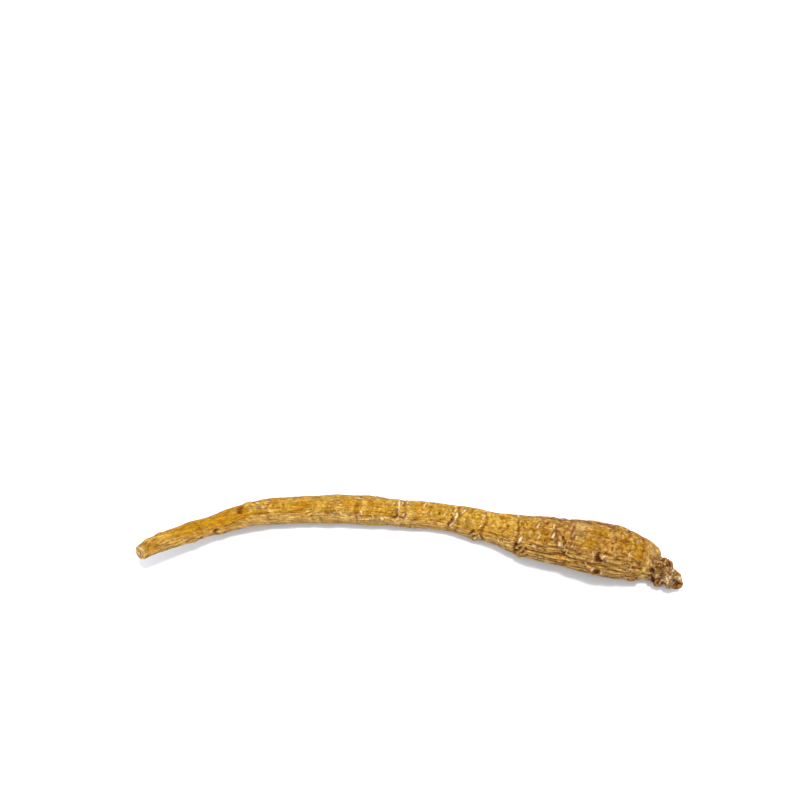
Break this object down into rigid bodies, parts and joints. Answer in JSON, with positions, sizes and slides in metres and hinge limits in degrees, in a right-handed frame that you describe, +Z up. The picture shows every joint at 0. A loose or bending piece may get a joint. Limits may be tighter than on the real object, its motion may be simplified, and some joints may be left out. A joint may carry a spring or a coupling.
{
  "type": "american ginseng root",
  "caption": "Dried root lying on a surface: a long curved tail with a cut end, a thicker ringed and wrinkled body, and a small knobbly crown.",
  "frame": {"origin": "on the surface that the root lies on, under the middle of its box", "axes": "+X along the root from the cut tail to the crown, +Y to the back, +Z up"},
  "size_m": [0.1246, 0.0234, 0.0118],
  "materials": {
    "dried_skin": "dry, golden tan skin, matt to slightly waxy, with brown folds and pale scars"
  },
  "bodies": {
    "root": {"ginseng_root": "dried_skin"}
  },
  "joints": []
}
